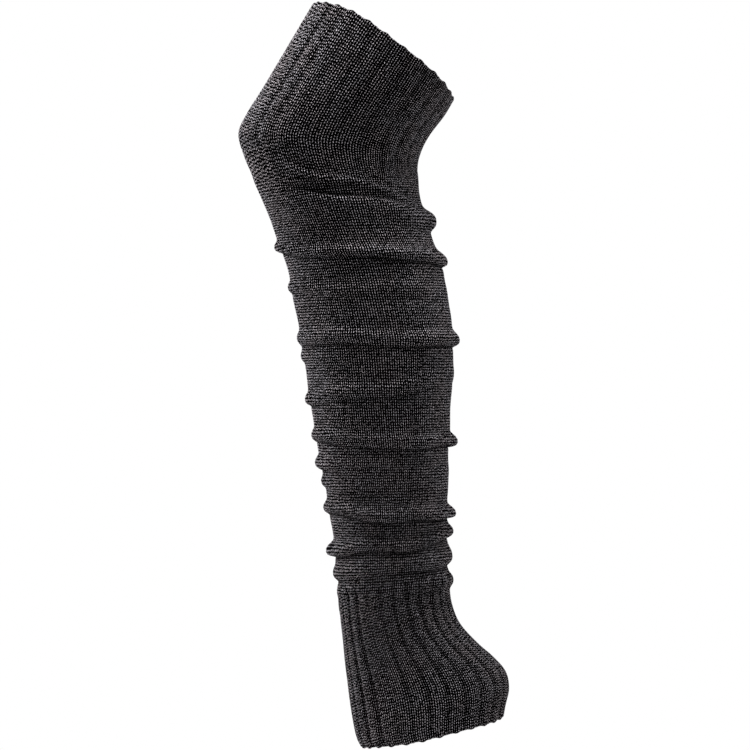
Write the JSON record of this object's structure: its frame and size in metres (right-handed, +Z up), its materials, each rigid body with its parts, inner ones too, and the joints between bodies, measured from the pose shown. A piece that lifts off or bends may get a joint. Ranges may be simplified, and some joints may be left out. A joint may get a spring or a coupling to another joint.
{
  "type": "leg warmer, one of a pair, as worn on a bent leg",
  "caption": "Long hollow knitted leg warmer with a ribbed thigh cuff, a slouching plain-knit leg and a flared ribbed ankle cuff, shaped as worn with the knee bent.",
  "frame": {"origin": "middle of the thigh opening, where the wearer's thigh holds the tube", "axes": "+Z up along the standing shin, +X towards the back of the leg and the heel, +Y across the leg away from the side that is seen best"},
  "size_m": [0.2153, 0.132, 0.592],
  "materials": {
    "rib_knit": "chunky 2 by 2 rib knit in charcoal black wool-look yarn, matt with a fine fuzz",
    "plain_knit": "chunky plain knit in the same charcoal black yarn, matt with a fine fuzz"
  },
  "bodies": {
    "root": {"thigh_cuff": "rib_knit", "leg": "plain_knit", "ankle_cuff": "rib_knit"}
  },
  "joints": []
}
